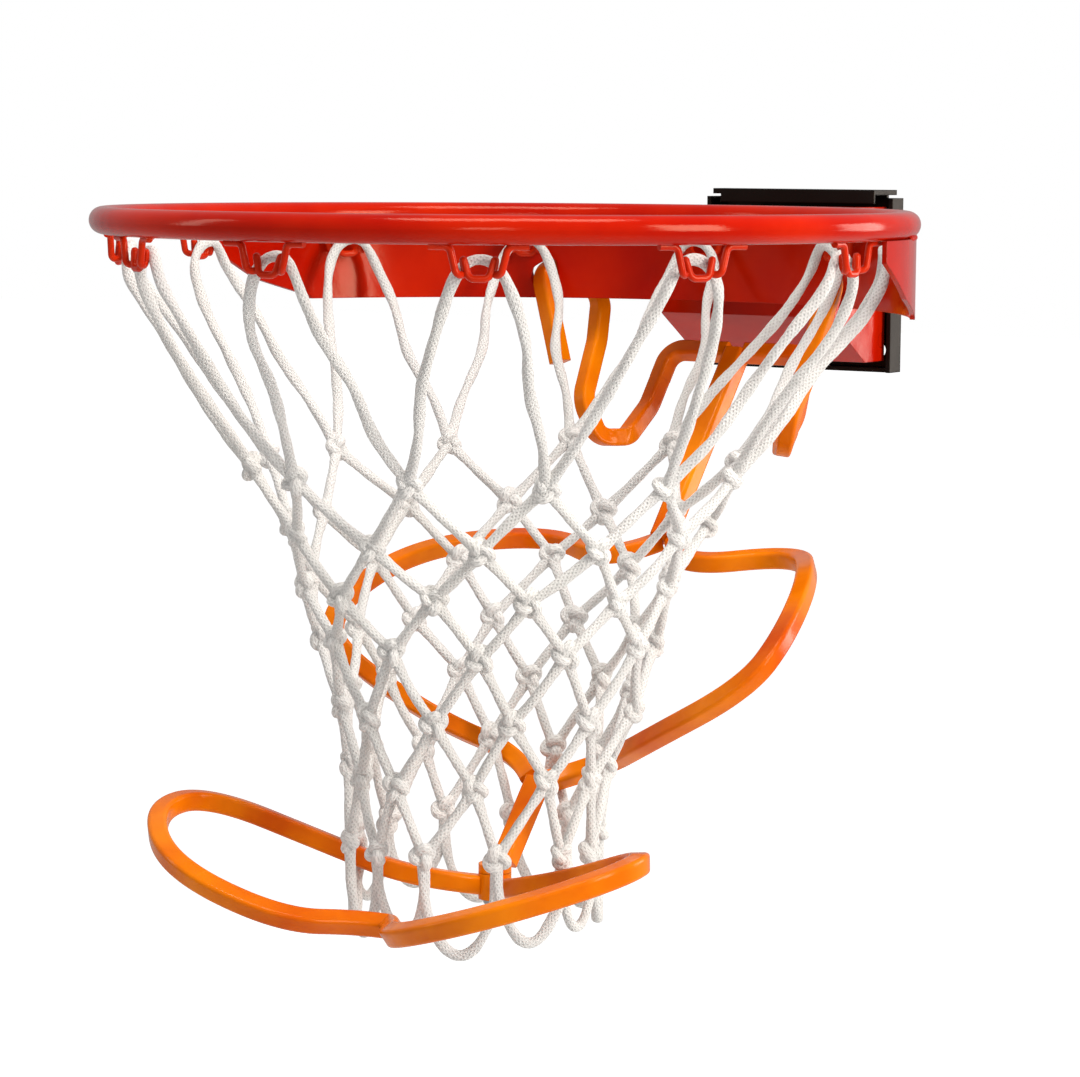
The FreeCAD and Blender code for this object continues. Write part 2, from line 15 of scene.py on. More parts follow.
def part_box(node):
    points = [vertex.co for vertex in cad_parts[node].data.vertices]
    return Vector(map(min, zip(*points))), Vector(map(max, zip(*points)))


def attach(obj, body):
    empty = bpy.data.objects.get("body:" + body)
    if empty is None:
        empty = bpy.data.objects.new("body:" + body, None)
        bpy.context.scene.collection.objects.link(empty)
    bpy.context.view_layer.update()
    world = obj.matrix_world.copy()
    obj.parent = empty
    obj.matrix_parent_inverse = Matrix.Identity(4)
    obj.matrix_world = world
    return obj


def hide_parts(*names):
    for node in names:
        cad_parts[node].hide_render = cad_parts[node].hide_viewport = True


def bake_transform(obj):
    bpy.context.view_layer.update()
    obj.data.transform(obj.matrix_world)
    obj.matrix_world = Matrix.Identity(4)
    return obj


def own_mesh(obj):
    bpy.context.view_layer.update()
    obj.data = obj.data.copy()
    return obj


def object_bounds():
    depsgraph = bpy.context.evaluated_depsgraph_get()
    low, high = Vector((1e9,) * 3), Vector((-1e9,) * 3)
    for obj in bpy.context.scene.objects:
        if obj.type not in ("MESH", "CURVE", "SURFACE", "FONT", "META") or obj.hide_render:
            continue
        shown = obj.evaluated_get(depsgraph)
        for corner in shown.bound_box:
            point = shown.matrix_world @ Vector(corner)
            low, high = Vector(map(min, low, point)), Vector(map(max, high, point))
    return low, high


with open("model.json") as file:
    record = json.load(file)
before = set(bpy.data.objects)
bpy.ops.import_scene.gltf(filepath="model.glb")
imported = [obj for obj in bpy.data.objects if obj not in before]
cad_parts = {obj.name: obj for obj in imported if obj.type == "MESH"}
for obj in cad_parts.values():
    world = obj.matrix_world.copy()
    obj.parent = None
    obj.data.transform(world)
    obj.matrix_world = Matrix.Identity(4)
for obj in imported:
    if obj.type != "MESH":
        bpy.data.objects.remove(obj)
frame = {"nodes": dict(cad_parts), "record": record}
CAD_LOW, CAD_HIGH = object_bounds()
bpy.ops.object.select_all(action="DESELECT")
MM = 0.001
print("frame", len(frame["nodes"]), "nodes")

# %% [markdown]
# ## Places to measure from
# The ring is a torus, so its box gives its centre and its two radii. Every other place in the lesson is
# taken from that centre: x to the right, y towards the backboard, z up.

# %% Ring centre and sizes
ring_low, ring_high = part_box("rim_ring")
CENTRE = (ring_low + ring_high) / 2
BAR_RADIUS = (ring_high.z - ring_low.z) / 2
RING_RADIUS = (ring_high.x - ring_low.x) / 2 - BAR_RADIUS


def place(x, y, z):
    """A point given in millimetres from the ring's centre."""
    return CENTRE + Vector((x, y, z)) * MM


print("ring radius", round(RING_RADIUS, 4), "bar radius", round(BAR_RADIUS, 4))

# %% [markdown]
# ## Camera
# A long lens from the front right, a little above the ring, looking slightly down. Because it stands far
# off, the ring's two ends stay nearly level.

# %% Camera
CAMERA_FROM_RING = (1056.2, -1601.5, 36.4)
CAMERA_TURN = math.radians(32.76)
CAMERA_DOWN = math.radians(6.7)
CAMERA_ROLL = math.radians(0.36)
LENS = 107.5
SENSOR = 36.0

camera_data = bpy.data.cameras.new("camera")
camera_data.lens = LENS
camera_data.sensor_width = SENSOR
camera = bpy.data.objects.new("camera", camera_data)
bpy.context.scene.collection.objects.link(camera)
camera.location = place(*CAMERA_FROM_RING)
turn = Matrix.Rotation(CAMERA_TURN, 3, "Z")
tilt = Matrix.Rotation(math.pi / 2 - CAMERA_DOWN, 3, "X")
roll = Matrix.Rotation(CAMERA_ROLL, 3, "Z")
camera.rotation_euler = (turn @ tilt @ roll).to_euler()
bpy.context.scene.camera = camera
print("camera", [round(v, 3) for v in camera.location])

# %% [markdown]
# ## Floor and light
# The real rim hangs on a wall of white light. A pale floor far below and a bright pale world do the same.
# Soft lamps above, on the right and behind draw long highlights on the round bar, and a small one near the
# camera picks out the curve of the band.

# %% Floor
FLOOR_SIZE = 60
FLOOR_DROP = 1.4
FLOOR_GLOW = 0.70
FLOOR_ROUGHNESS = 0.9
FLOOR_PALE = (0.93, 0.93, 0.93, 1)
PURE_WHITE = (1.0, 1.0, 1.0, 1)

bpy.ops.mesh.primitive_plane_add(size=FLOOR_SIZE, location=(CENTRE.x, CENTRE.y, CAD_LOW.z - FLOOR_DROP))
floor = bpy.context.active_object
floor.name = "floor"

floor_paint = bpy.data.materials.new("pale_floor")
floor_paint.use_nodes = True
floor_shader = floor_paint.node_tree.nodes["Principled BSDF"]
floor_shader.inputs["Base Color"].default_value = FLOOR_PALE
floor_shader.inputs["Roughness"].default_value = FLOOR_ROUGHNESS
floor_shader.inputs["Emission Color"].default_value = PURE_WHITE
floor_seen = floor_paint.node_tree.nodes.new("ShaderNodeLightPath")
floor_glow = floor_paint.node_tree.nodes.new("ShaderNodeMapRange")
floor_glow.inputs["To Max"].default_value = FLOOR_GLOW
floor_paint.node_tree.links.new(floor_seen.outputs["Is Camera Ray"], floor_glow.inputs["Value"])
floor_paint.node_tree.links.new(floor_glow.outputs["Result"], floor_shader.inputs["Emission Strength"])
floor.data.materials.append(floor_paint)

# %% World
# The walls of light look pure white to the camera, but light the object less, so that its sides keep depth.
WALL_WHITE = 1.0
WALL_LIGHT = 0.40

bpy.context.scene.view_settings.view_transform = "Standard"
world = bpy.data.worlds.new("studio")
world.use_nodes = True
sky = world.node_tree
wall = sky.nodes["Background"]
wall.inputs["Color"].default_value = PURE_WHITE
seen = sky.nodes.new("ShaderNodeLightPath")
wall_strength = sky.nodes.new("ShaderNodeMapRange")
wall_strength.inputs["To Min"].default_value = WALL_LIGHT
wall_strength.inputs["To Max"].default_value = WALL_WHITE
sky.links.new(seen.outputs["Is Camera Ray"], wall_strength.inputs["Value"])
sky.links.new(wall_strength.outputs["Result"], wall.inputs["Strength"])
bpy.context.scene.world = world


# %% Lamps
LAMP_WARMTH = (1.0, 0.95, 0.89)
NET_MIDDLE = place(0, 0, -180)


def soft_lamp(name, offset, width, height, power):
    """A rectangular lamp aimed at the middle of the net, its offset in metres from the ring's centre."""
    data = bpy.data.lights.new(name, "AREA")
    data.shape = "RECTANGLE"
    data.size = width
    data.size_y = height
    data.energy = power
    data.color = LAMP_WARMTH
    lamp = bpy.data.objects.new(name, data)
    bpy.context.scene.collection.objects.link(lamp)
    lamp.location = CENTRE + Vector(offset)
    aim = NET_MIDDLE - lamp.location
    lamp.rotation_euler = aim.to_track_quat("-Z", "Y").to_euler()
    return lamp


soft_lamp("lamp_above", (0.3, -0.4, 2.3), 1.6, 0.9, 50)
soft_lamp("lamp_right", (2.3, -0.3, 0.5), 0.7, 1.8, 58)
soft_lamp("lamp_left", (-2.1, -1.4, 0.8), 0.4, 1.6, 9)
soft_lamp("lamp_behind", (1.9, 2.6, 0.2), 1.2, 1.6, 36)
soft_lamp("lamp_front", (1.1, -2.0, 0.5), 0.5, 0.25, 4)

# %% [markdown]
# ## Paint and metal
# Powder paint has a fine orange-peel surface under a glossy skin, and its colour varies a little with its
# thickness. One helper builds that, and each finish then has its own colours. The Bevel node rounds the
# light on the folded edges, which a press never leaves sharp.


# %% Painted finish
def noise_at(tree, scale, detail, place_on_piece):
    noise = tree.nodes.new("ShaderNodeTexNoise")
    noise.inputs["Scale"].default_value = scale
    noise.inputs["Detail"].default_value = detail
    tree.links.new(place_on_piece, noise.inputs["Vector"])
    return noise.outputs["Fac"]


def ramp(tree, value, low, high, dark, light):
    """Turns a value into a colour between two others."""
    node = tree.nodes.new("ShaderNodeValToRGB")
    node.color_ramp.elements[0].position = low
    node.color_ramp.elements[1].position = high
    node.color_ramp.elements[0].color = (*dark, 1)
    node.color_ramp.elements[1].color = (*light, 1)
    tree.links.new(value, node.inputs["Fac"])
    return node.outputs["Color"]


def spread(tree, value, low, high):
    """Maps 0 to 1 onto another range."""
    node = tree.nodes.new("ShaderNodeMapRange")
    node.inputs["To Min"].default_value = low
    node.inputs["To Max"].default_value = high
    tree.links.new(value, node.inputs["Value"])
    return node.outputs["Result"]


def bump(tree, height, distance, strength, normal=None):
    node = tree.nodes.new("ShaderNodeBump")
    node.inputs["Distance"].default_value = distance
    node.inputs["Strength"].default_value = strength
    tree.links.new(height, node.inputs["Height"])
    if normal:
        tree.links.new(normal, node.inputs["Normal"])
    return node.outputs["Normal"]


SPECULAR = 0.18
BLACK_SPECULAR = 0.12
WARM_SHINE = (1.0, 0.66, 0.42, 1)
COAT_ROUGHNESS = 0.06
CLOUD_SCALE = 14.0
PEEL_SCALE = 520.0
WAVE_SCALE = 48.0
PEEL_HEIGHT = 0.2 * MM
WAVE_HEIGHT = 1.2 * MM
SHEET_EDGE = 1.2 * MM
WIRE_EDGE = 0.4 * MM


def painted(name, dark, light, gloss, coat, edge=SHEET_EDGE, specular=SPECULAR):
    """Glossy powder paint with cloudy colour, orange peel and softened edges."""
    material = bpy.data.materials.new(name)
    material.use_nodes = True
    tree = material.node_tree
    shader = tree.nodes["Principled BSDF"]
    here = tree.nodes.new("ShaderNodeTexCoord").outputs["Object"]
    cloud = noise_at(tree, CLOUD_SCALE, 4.0, here)
    peel = noise_at(tree, PEEL_SCALE, 2.0, here)
    wave = noise_at(tree, WAVE_SCALE, 1.0, here)
    tree.links.new(ramp(tree, cloud, 0.3, 0.7, dark, light), shader.inputs["Base Color"])
    tree.links.new(spread(tree, cloud, gloss - 0.04, gloss + 0.06), shader.inputs["Roughness"])
    rounded = tree.nodes.new("ShaderNodeBevel")
    rounded.samples = 4
    rounded.inputs["Radius"].default_value = edge
    rippled = bump(tree, wave, WAVE_HEIGHT, 0.30, rounded.outputs["Normal"])
    tree.links.new(bump(tree, peel, PEEL_HEIGHT, 0.30, rippled), shader.inputs["Normal"])
    shader.inputs["Specular IOR Level"].default_value = specular
    shader.inputs["Specular Tint"].default_value = WARM_SHINE
    shader.inputs["Coat Weight"].default_value = coat
    shader.inputs["Coat Roughness"].default_value = COAT_ROUGHNESS
    return material


rim_red = painted("rim_red_paint", (0.36, 0.0025, 0.0002), (0.51, 0.0125, 0.0003), 0.12, 0.04)
hook_red = painted("hook_red_paint", (0.46, 0.012, 0.002), (0.60, 0.026, 0.003), 0.20, 0.05, WIRE_EDGE)
return_orange = painted("return_orange_paint", (0.56, 0.066, 0.0006), (0.86, 0.225, 0.0010), 0.16, 0.05)
BLACK_DARK = (0.003, 0.003, 0.003)
BLACK_LIGHT = (0.006, 0.006, 0.006)
black_paint = painted("black_paint", BLACK_DARK, BLACK_LIGHT, 0.30, 0.02, specular=BLACK_SPECULAR)


# %% Zinc-plated steel
ZINC_DARK = (0.42, 0.42, 0.43)
ZINC_LIGHT = (0.62, 0.62, 0.60)
ZINC_CLOUD_SCALE = 60.0
ZINC_SCRATCH_SCALE = 900.0
ZINC_SCRATCH_DEPTH = 0.1 * MM


def zinc_plate():
    """Dull plated steel with cloudy patches and fine scratches."""
    material = bpy.data.materials.new("zinc_plate")
    material.use_nodes = True
    tree = material.node_tree
    shader = tree.nodes["Principled BSDF"]
    here = tree.nodes.new("ShaderNodeTexCoord").outputs["Object"]
    cloud = noise_at(tree, ZINC_CLOUD_SCALE, 5.0, here)
    scratch = noise_at(tree, ZINC_SCRATCH_SCALE, 2.0, here)
    tree.links.new(ramp(tree, cloud, 0.3, 0.7, ZINC_DARK, ZINC_LIGHT), shader.inputs["Base Color"])
    tree.links.new(spread(tree, cloud, 0.30, 0.48), shader.inputs["Roughness"])
    tree.links.new(bump(tree, scratch, ZINC_SCRATCH_DEPTH, 0.3), shader.inputs["Normal"])
    shader.inputs["Metallic"].default_value = 1.0
    return material


zinc = zinc_plate()

# %% Paint the CAD nodes
FINISHES = {
    "rim_red": rim_red,
    "hook_orange": hook_red,
    "return_orange": return_orange,
    "black_coat": black_paint,
    "zinc_steel": zinc,
}
for part in frame["record"]["subparts"]:
    finish = FINISHES.get(part["material_slot"])
    if finish:
        node_mesh = frame["nodes"][part["node"]].data
        node_mesh.materials.clear()
        node_mesh.materials.append(finish)
print("finishes", sorted(FINISHES))

# %% [markdown]
# ## Braided cord
# The net is one long braided cord. Its line is made first, as a list of points, and a tube is then wrapped
# round it in code, because a tube made so can carry the braid in its own shape: two sets of strands cross
# and swell where they pass over. The tube also keeps a UV map, metres along and turns around, so that the
# fine yarns of the braid follow the cord wherever it bends.

# %% Cord sizes
CORD_RADIUS = 3.1 * MM
CORD_SIDES = 16
CORD_STEP = 1.4 * MM
RIDGE_STRANDS = 4
RIDGE_PITCH = 6.4 * MM
RIDGE_HEIGHT = 0.025
FLATTEN = 0.10
FLAT_TWIST = 62.0 * MM
SLACK = 0.06
SLACK_LENGTH = 23.0 * MM
BRAID_STRANDS = 8
BRAID_PITCH = 3.6 * MM


# %% Smooth lines
def smooth_line(points, step):
    """Evenly spaced points on a smooth curve through the given ones."""
    ends = [points[0] * 2 - points[1], *points, points[-1] * 2 - points[-2]]
    line = []
    for a, b, c, d in zip(ends, ends[1:], ends[2:], ends[3:]):
        count = max(2, int((c - b).length / step))
        for i in range(count):
            t = i / count
            bend = (a * -1 + b * 3 - c * 3 + d) * t**3 + (a * 2 - b * 5 + c * 4 - d) * t**2
            line.append((bend + (c - a) * t + b * 2) / 2)
    line.append(points[-1].copy())
    return line


# %% Tube round a line
def tube_rings(line, radius_at, sides):
    """Rings of points round a line, carried along it without twisting."""
    rings = []
    ahead = (line[1] - line[0]).normalized()
    side = ahead.orthogonal().normalized()
    travelled = 0.0
    for i, point in enumerate(line):
        before, after = line[max(i - 1, 0)], line[min(i + 1, len(line) - 1)]
        heading = (after - before).normalized()
        side = (side - heading * side.dot(heading)).normalized()
        across = heading.cross(side)
        if i:
            travelled += (point - line[i - 1]).length
        ring = []
        for k in range(sides):
            angle = 2 * math.pi * k / sides
            reach = radius_at(travelled, angle)
            ring.append(point + (side * math.cos(angle) + across * math.sin(angle)) * reach)
        rings.append((travelled, ring))
    return rings


def tube_mesh(name, tubes, sides):
    """One mesh from many tubes, with closed ends and a UV map of metres along and turns around."""
    verts, faces, marks = [], [], []
    for rings in tubes:
        first = len(verts)
        for travelled, ring in rings:
            verts.extend(ring)
        for j in range(len(rings) - 1):
            along, further = rings[j][0], rings[j + 1][0]
            for k in range(sides):
                a = first + j * sides + k
                b = first + j * sides + (k + 1) % sides
                faces.append((a, b, b + sides, a + sides))
                marks.append([(along, k), (along, k + 1), (further, k + 1), (further, k)])
        last = len(verts) - sides
        faces.append(tuple(range(first + sides - 1, first - 1, -1)))
        marks.append([(rings[0][0], k) for k in range(sides)])
        faces.append(tuple(range(last, last + sides)))
        marks.append([(rings[-1][0], k) for k in range(sides)])
    mesh = bpy.data.meshes.new(name)
    mesh.from_pydata(verts, [], faces)
    uv = mesh.uv_layers.new(name="cord")
    flat = [value for face in marks for along, k in face for value in (along, k / sides)]
    uv.data.foreach_set("uv", flat)
    mesh.polygons.foreach_set("use_smooth", [True] * len(mesh.polygons))
    mesh.update()
    piece = bpy.data.objects.new(name, mesh)
    bpy.context.scene.collection.objects.link(piece)
    return piece


# %% Braided radius
def braided(travelled, angle):
    """The cord's radius: crossing strands swell it, and it lies flatter in places and slacker in others."""
    along = 2 * math.pi * travelled / RIDGE_PITCH
    right = math.cos(RIDGE_STRANDS * angle + along)
    left = math.cos(RIDGE_STRANDS * angle - along)
    ridge = RIDGE_HEIGHT * (max(right, left) - 0.5)
    flat = FLATTEN * math.cos(2 * angle + 2 * math.pi * travelled / FLAT_TWIST)
    slack = SLACK * math.sin(2 * math.pi * travelled / SLACK_LENGTH)
    return CORD_RADIUS * (1 + ridge + flat + slack)


# %% Cord finish
# The grey of the valleys between the strands is painted shade.
VALLEY_SHADE = (0.77, 0.76, 0.745)
STRAND_WHITE = (0.93, 0.925, 0.915)
SOILED = (0.95, 0.945, 0.93)
CLEAN = (1.0, 1.0, 1.0)
YARNS_PER_STRAND = 3.0
FUZZ_SCALE = 1500.0
SOIL_SCALE = 9.0
BRAID_DEPTH = 0.45 * MM
FUZZ_DEPTH = 0.2 * MM


def braid_paint():
    """White braided yarn: crossing strands, fine yarns within them, and painted shade: a little grey in the
    valleys between the strands.
    """
    material = bpy.data.materials.new("net_cord_white")
    material.use_nodes = True
    tree = material.node_tree
    shader = tree.nodes["Principled BSDF"]
    uv = tree.nodes.new("ShaderNodeUVMap")
    uv.uv_map = "cord"
    parts = tree.nodes.new("ShaderNodeSeparateXYZ")
    tree.links.new(uv.outputs["UV"], parts.inputs["Vector"])

    def number(kind, a, b):
        node = tree.nodes.new("ShaderNodeMath")
        node.operation = kind
        for socket, value in zip(node.inputs, (a, b)):
            if isinstance(value, (int, float)):
                socket.default_value = value
            else:
                tree.links.new(value, socket)
        return node.outputs["Value"]

    along = number("MULTIPLY", parts.outputs["X"], 2 * math.pi / BRAID_PITCH)
    around = number("MULTIPLY", parts.outputs["Y"], 2 * math.pi * BRAID_STRANDS)
    leaning_right = number("ADD", around, along)
    leaning_left = number("SUBTRACT", around, along)
    right = number("COSINE", leaning_right, 0.0)
    left = number("COSINE", leaning_left, 0.0)
    strands = number("MAXIMUM", right, left)
    yarn_right = number("COSINE", number("MULTIPLY", leaning_left, YARNS_PER_STRAND), 0.0)
    yarn_left = number("COSINE", number("MULTIPLY", leaning_right, YARNS_PER_STRAND), 0.0)
    right_on_top = number("GREATER_THAN", right, left)
    yarns = number(
        "ADD",
        number("MULTIPLY", yarn_right, right_on_top),
        number("MULTIPLY", yarn_left, number("SUBTRACT", 1.0, right_on_top)),
    )
    height = number("ADD", number("MULTIPLY", strands, 0.6), number("MULTIPLY", yarns, 0.4))
    here = tree.nodes.new("ShaderNodeTexCoord").outputs["Object"]
    fuzz = noise_at(tree, FUZZ_SCALE, 2.0, here)
    soil = noise_at(tree, SOIL_SCALE, 3.0, here)
    # Painted shade: the cord turns grey where the strands dip into the valleys between them.
    pale = ramp(tree, strands, 0.0, 0.8, VALLEY_SHADE, STRAND_WHITE)
    worn = ramp(tree, soil, 0.35, 0.65, SOILED, CLEAN)
    mix = tree.nodes.new("ShaderNodeMix")
    mix.data_type = "RGBA"
    mix.blend_type = "MULTIPLY"
    mix.inputs["Factor"].default_value = 1.0
    tree.links.new(pale, mix.inputs["A"])
    tree.links.new(worn, mix.inputs["B"])
    tree.links.new(mix.outputs["Result"], shader.inputs["Base Color"])
    tree.links.new(spread(tree, fuzz, 0.70, 0.90), shader.inputs["Roughness"])
    woven = bump(tree, height, BRAID_DEPTH, 0.9)
    tree.links.new(bump(tree, fuzz, FUZZ_DEPTH, 0.3, woven), shader.inputs["Normal"])
    shader.inputs["Sheen Weight"].default_value = 0.25
    shader.inputs["Sheen Roughness"].default_value = 0.5
    return material


net_white = braid_paint()

# %% [markdown]
# ## Weld beads
# A weld bead is a row of small overlapping ripples, thin at both ends. Each hook foot has a bead on both of
# its sides, and the band is stitched to the ring with longer beads along its outer and inner edge. Every
# bead is a tube whose radius follows the ripples, half sunk into the metal it joins.

# %% Bead shape
HOOKS = 12
BEAD_SIDES = 10
BEAD_STEP = 0.45 * MM
RIPPLE = 2.2 * MM
RIPPLE_DEPTH = 0.18
END_LENGTH = 1.6
END_SQUARE = 0.02


def bead_rings(line, radius):
    """A rippled tube along a line, drawn in at both ends."""
    total = sum((b - a).length for a, b in zip(line, line[1:]))

    def radius_at(travelled, angle):
        end = min(1.0, min(travelled, total - travelled) / (END_LENGTH * radius))
        taper = math.sqrt(max(END_SQUARE, 1 - (1 - end) ** 2))
        ripple = 1 - RIPPLE_DEPTH * abs(math.cos(math.pi * travelled / RIPPLE))
        return radius * taper * ripple

    return tube_rings(line, radius_at, BEAD_SIDES)


def arc_line(radius, z, angle, length):
    """Points along part of a level circle round the ring's axis; the angle is measured from the front."""
    count = max(4, int(length / BEAD_STEP))
    line = []
    for i in range(count + 1):
        here = angle + (i / count - 0.5) * length / radius
        line.append(CENTRE + Vector((radius * math.sin(here), -radius * math.cos(here), z)))
    return line


# %% Model the beads
FOOT_BEAD = 1.5 * MM
FOOT_LENGTH = 8.5 * MM
FOOT_MIDDLE = 21.5 * MM
HOOK_WIRE_RADIUS = 2.0 * MM
FOOT_INSET = 3.5 * MM
SEAM_BEAD = 1.9 * MM
SEAM_LENGTH = 34.0 * MM
SEAM_STEP = math.radians(17.0)
SEAM_COUNT = 9
BAND_THICK = 3.0 * MM
BEAD_DROP = 0.6 * MM
FOOT_SINK = 0.3 * MM
SEAM_SINK = 0.2 * MM

foot_z = -math.sqrt(BAR_RADIUS**2 - FOOT_INSET**2) - BEAD_DROP
beads = []
for k in range(HOOKS):
    for side in (-1, 1):
        for flank in (-1, 1):
            radius = RING_RADIUS - FOOT_INSET + flank * (HOOK_WIRE_RADIUS - FOOT_SINK)
            angle = 2 * math.pi * k / HOOKS + side * FOOT_MIDDLE / RING_RADIUS
            beads.append(bead_rings(arc_line(radius, foot_z, angle, FOOT_LENGTH), FOOT_BEAD))

band_low, band_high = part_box("brace_band")
band_outer = (band_high.x - band_low.x) / 2
band_inner = band_outer - BAND_THICK
for radius in (band_outer - SEAM_SINK, band_inner + SEAM_SINK):
    seam_z = -math.sqrt(max(0.0, BAR_RADIUS**2 - (radius - RING_RADIUS) ** 2)) - BEAD_DROP
    for i in range(SEAM_COUNT):
        angle = math.pi + (i - (SEAM_COUNT - 1) / 2) * SEAM_STEP
        beads.append(bead_rings(arc_line(radius, seam_z, angle, SEAM_LENGTH), SEAM_BEAD))

weld_beads = tube_mesh("weld_beads", beads, BEAD_SIDES)
weld_beads.data.materials.append(rim_red)
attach(weld_beads, "rim")
print("weld_beads", len(weld_beads.data.polygons), "faces")

# %% [markdown]
# ## The net's knots
# Twelve loops hang on the hooks. Below them the cord is knotted in rows of twelve, each row turned half a
# step from the one above, so that the cords make diamonds. The rows draw in towards the foot, and the ball
# return pushes them a little forward. Each row is given by its height, its radius and its middle's y.

# %% Rows of knots
ROWS = [
    (-143, 147, -8),
    (-180, 127, -10),
    (-213, 112, -12),
    (-246, 100, -15),
    (-282, 90, -19),
    (-322, 80, -26),
    (-364, 75, -34),
]
LOOP_FOOT = -421
WANDER = 3.2 * MM
chance = random.Random(7)


def on_row(row, step):
    """A knot's place: step counts twelfths of a turn from the front, towards +X."""
    z, radius, y = ROWS[row]
    angle = 2 * math.pi * (step + (0.5 if row % 2 == 0 else 0.0)) / HOOKS
    return place(radius * math.sin(angle), y - radius * math.cos(angle), z)


def shaken(point, amount):
    return point + Vector([chance.uniform(-amount, amount) for _ in range(3)])


knots = [[shaken(on_row(row, k), WANDER) for k in range(HOOKS)] for row in range(len(ROWS))]

# %% [markdown]
# ## Keeping the cords off the metal
# A search tree over the ball return's bars says how far each point of a cord is from the nearest bar.
# Points that are too near are moved straight away from it, and the line is smoothed and tested again.

# %% Search tree over the bars
BARS = (
    "stem", "lower_stem", "guard_loop_left", "guard_loop_right", "arm_left", "arm_right",
    "chute_loop", "chute_hub", "swivel_bolt", "swivel_cap",
)
ROOM = CORD_RADIUS + 1.2 * MM
bar_trees = []
for name in BARS:
    bar_mesh = frame["nodes"][name].data
    corners = [v.co for v in bar_mesh.vertices]
    faces = [tuple(p.vertices) for p in bar_mesh.polygons]
    bar_trees.append(BVHTree.FromPolygons(corners, faces))


def pushed(point, room):
    """The point, moved off any bar that is nearer than it should be."""
    for tree in bar_trees:
        nearest, normal, _, distance = tree.find_nearest(point, 3 * room)
        if nearest is None:
            continue
        away = point - nearest
        inside = away.dot(normal) < 0
        if inside:
            point = nearest + normal * room
        elif distance < room:
            point = nearest + (away.normalized() if distance > 1e-6 else normal) * room
    return point


def kept_off(line, room, rounds=12):
    """A line whose inner points stay clear of the bars, with its ends held."""
    for _ in range(rounds):
        line = [pushed(p, room) for p in line]
        eased = [line[0]]
        for a, b, c in zip(line, line[1:], line[2:]):
            eased.append(b * 0.5 + (a + c) * 0.25)
        line = [*eased, line[-1]]
    return [line[0], *[pushed(p, room) for p in line[1:-1]], line[-1]]


KNOT_ROOM = 9.0 * MM
knots = [[pushed(pushed(p, KNOT_ROOM), KNOT_ROOM) for p in row] for row in knots]


# %% [markdown]
# ## Cords between the knots
# Each cord leaves its knot a little to one side and bows slightly, because a net under its own weight is
# never quite tight. The hook loops go up from one knot, over the hook behind its middle bend, and down to
# the next knot.

# %% Cord lines
COARSE = 6.0 * MM
LOOP_DEPTH_SPREAD = (-3, 8)
LOOP_SWING = (-4, 5)
LOOP_HALF_WIDTH = (9, 13)
LOOP_SHOULDER = 14 * MM
LOOP_SPLAY = 3 * MM
LEG_SWAY = 5.0 * MM
LEG_BOW = 6.0 * MM
CORD_SWAY = 1.6 * MM
CORD_BOW = 2.5 * MM
# The top of a hook loop, in millimetres at the front hook: up one leg, over the wire and down the other.
CROWN = [
    (-15.5, -224.5, -30),
    (-9.5, -223.4, -18),
    (0, -222.6, -14.5),
    (9.5, -223.4, -18),
    (15.5, -224.5, -30),
]


def cord_between(a, b, bow):
    """A slightly bowed line from one knot to the next."""
    middle = (a + b) / 2
    outward = Vector((middle.x - CENTRE.x, middle.y - CENTRE.y, 0)).normalized()
    sag = outward * chance.uniform(-0.4, 1.0) * bow + Vector((0, 0, -1)) * chance.uniform(0, 0.6) * bow
    early = shaken(a.lerp(b, 0.3) + sag * 0.8, CORD_SWAY)
    late = shaken(a.lerp(b, 0.7) + sag, CORD_SWAY)
    line = smooth_line([a, early, late, b], COARSE)
    return kept_off(line, ROOM)


def hook_place(k, x, y, z):
    """A point at a hook, given as if that hook were the front one."""
    turned = Matrix.Rotation(2 * math.pi * k / HOOKS, 3, "Z") @ Vector((x, y, z))
    return place(*turned)


def hook_loop(k):
    """From the knot on the hook's left, over the hook and down to the knot on its right."""
    left, right = knots[0][(k - 1) % HOOKS], knots[0][k]
    crown = [hook_place(k, *point) for point in CROWN]
    outward = (crown[2] - CENTRE).normalized()
    sideways = Vector((-outward.y, outward.x, 0))

    def leg(knot, end):
        """Points on a strand that hangs between a knot and the hook, thrown a little off its line."""
        points = []
        for share in (0.25, 0.5, 0.75):
            sway = sideways * chance.uniform(-LEG_SWAY, LEG_SWAY)
            bow = outward * chance.uniform(0, LEG_BOW)
            points.append(knot.lerp(end, share) + sway + bow)
        return points

    rising = leg(left, crown[0])
    falling = leg(right, crown[4])
    return kept_off(smooth_line([left, *rising, *crown, *reversed(falling), right], COARSE), ROOM, 3)


def foot_loop(k):
    """A free loop between two neighbouring knots of the last row."""
    a, b = knots[-1][k], knots[-1][(k + 1) % HOOKS]
    foot = (a + b) / 2
    depth = place(0, 0, LOOP_FOOT).z + chance.uniform(*LOOP_DEPTH_SPREAD) * MM
    outward = Vector((foot.x - CENTRE.x, foot.y - CENTRE.y - ROWS[-1][2] * MM, 0)).normalized()
    along = Vector((-outward.y, outward.x, 0))
    if along.dot(b - a) < 0:
        along.negate()
    foot = Vector((foot.x, foot.y, depth)) + outward * chance.uniform(*LOOP_SWING) * MM
    half = chance.uniform(*LOOP_HALF_WIDTH) * MM
    shoulder = Vector((0, 0, LOOP_SHOULDER))
    points = [
        a,
        a.lerp(foot - along * half, 0.5) - along * LOOP_SPLAY,
        foot - along * half + shoulder,
        foot - along * half * 0.5 + shoulder * 0.15,
        foot + along * half * 0.5 + shoulder * 0.15,
        foot + along * half + shoulder,
        b.lerp(foot + along * half, 0.5) + along * LOOP_SPLAY,
        b,
    ]
    return kept_off(smooth_line(points, COARSE * 0.6), ROOM)


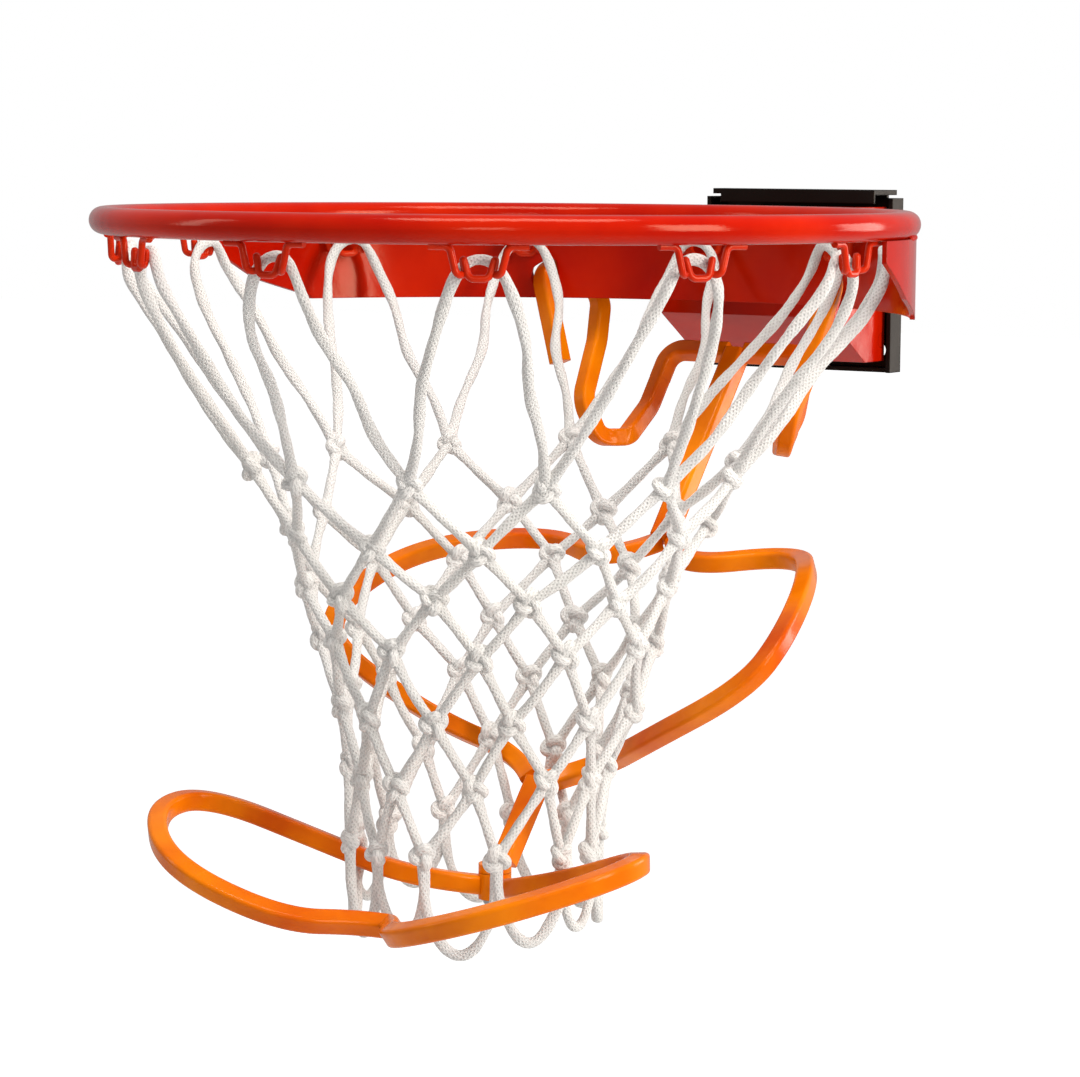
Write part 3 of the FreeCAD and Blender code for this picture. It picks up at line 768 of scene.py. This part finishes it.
def cord_piece(name, lines):
    """A piece of braided cords along the given lines."""
    tubes = [tube_rings(smooth_line(line, CORD_STEP), braided, CORD_SIDES) for line in lines]
    piece = tube_mesh(name, tubes, CORD_SIDES)
    piece.data.materials.append(net_white)
    length = sum(tube[-1][0] for tube in tubes)
    print(name, len(piece.data.polygons), "faces", round(length, 2), "m of cord")
    return piece


# %% Model the cords
def row_cords(row):
    """The two cords from each knot of a row to the row below."""
    lines = []
    for k in range(HOOKS):
        right_step = 1 if row % 2 == 0 else 0
        for step in (right_step - 1, right_step):
            lines.append(cord_between(knots[row][k], knots[row + 1][(k + step) % HOOKS], CORD_BOW))
    return lines


hook_cords = cord_piece("net_hook_cords", [hook_loop(k) for k in range(HOOKS)])
upper_cords = cord_piece("net_upper_cords", row_cords(0) + row_cords(1))
middle_cords = cord_piece("net_middle_cords", row_cords(2) + row_cords(3))
lower_cords = cord_piece("net_lower_cords", row_cords(4) + row_cords(5))
foot_loops = cord_piece("net_foot_loops", [foot_loop(k) for k in range(HOOKS)])

# %% [markdown]
# ## Knots
# A netting knot is the cord itself, wrapped tightly once round its neighbour. A three-lobed closed curve,
# flattened against the net, gives the same crossing turns, and each knot is a turned copy of it.

# %% Model the knots
KNOT_LOBE = 1.85 * MM
KNOT_DEPTH = 2.3 * MM
KNOT_SIDES = 14
KNOT_STEPS = 54


def knot_line():
    line = []
    for i in range(KNOT_STEPS + 1):
        t = 2 * math.pi * i / KNOT_STEPS
        x = math.sin(t) + 2 * math.sin(2 * t)
        y = math.cos(t) - 2 * math.cos(2 * t)
        line.append(Vector((x * KNOT_LOBE, y * KNOT_LOBE * 1.1, -math.sin(3 * t) * KNOT_DEPTH)))
    return line


def knot_piece(name, rows):
    """All the knots of some rows as one piece."""
    tubes = []
    shape = knot_line()
    for row in rows:
        for k in range(HOOKS):
            middle = knots[row][k]
            outward = Vector((middle.x - CENTRE.x, middle.y - CENTRE.y - ROWS[row][2] * MM, 0)).normalized()
            facing = outward.to_track_quat("Z", "Y").to_matrix()
            spin = Matrix.Rotation(chance.uniform(-0.6, 0.6) + math.pi * (k % 2), 3, "Z")
            swell = chance.uniform(0.92, 1.1)
            line = [middle + facing @ spin @ p * swell for p in shape]
            tubes.append(tube_rings(line, braided, KNOT_SIDES))
    piece = tube_mesh(name, tubes, KNOT_SIDES)
    piece.data.materials.append(net_white)
    print(name, len(piece.data.polygons), "faces")
    return piece


upper_knots = knot_piece("net_upper_knots", (0, 1, 2, 3, 4))
lower_knots = knot_piece("net_lower_knots", (5, 6))

# %% [markdown]
# ## How the net moves
# Most of the net hangs from the ring and moves with it. Its foot hangs inside the chute. The lower cords,
# the lowest knots and the foot loops are joined to no body; their places are baked into their points.

# %% Join the upper net to the ring
for piece in (hook_cords, upper_cords, middle_cords, upper_knots):
    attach(piece, "rim")
for piece in (lower_cords, lower_knots, foot_loops):
    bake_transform(piece)
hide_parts("net_top")
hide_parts("net_mesh")
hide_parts("net_loops")

# %% [markdown]
# ## The springs
# When the ring is pulled down, the pressure plate in the housing tips forward and squeezes the two springs
# against their front washers. Here each spring gets a mesh of its own, and the middle of its front end is
# found.

for name in ("spring_left", "spring_right"):
    spring_low, spring_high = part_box(name)
    front_end = (spring_low + spring_high) / 2
    front_end.y = spring_low.y
    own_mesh(frame["nodes"][name])
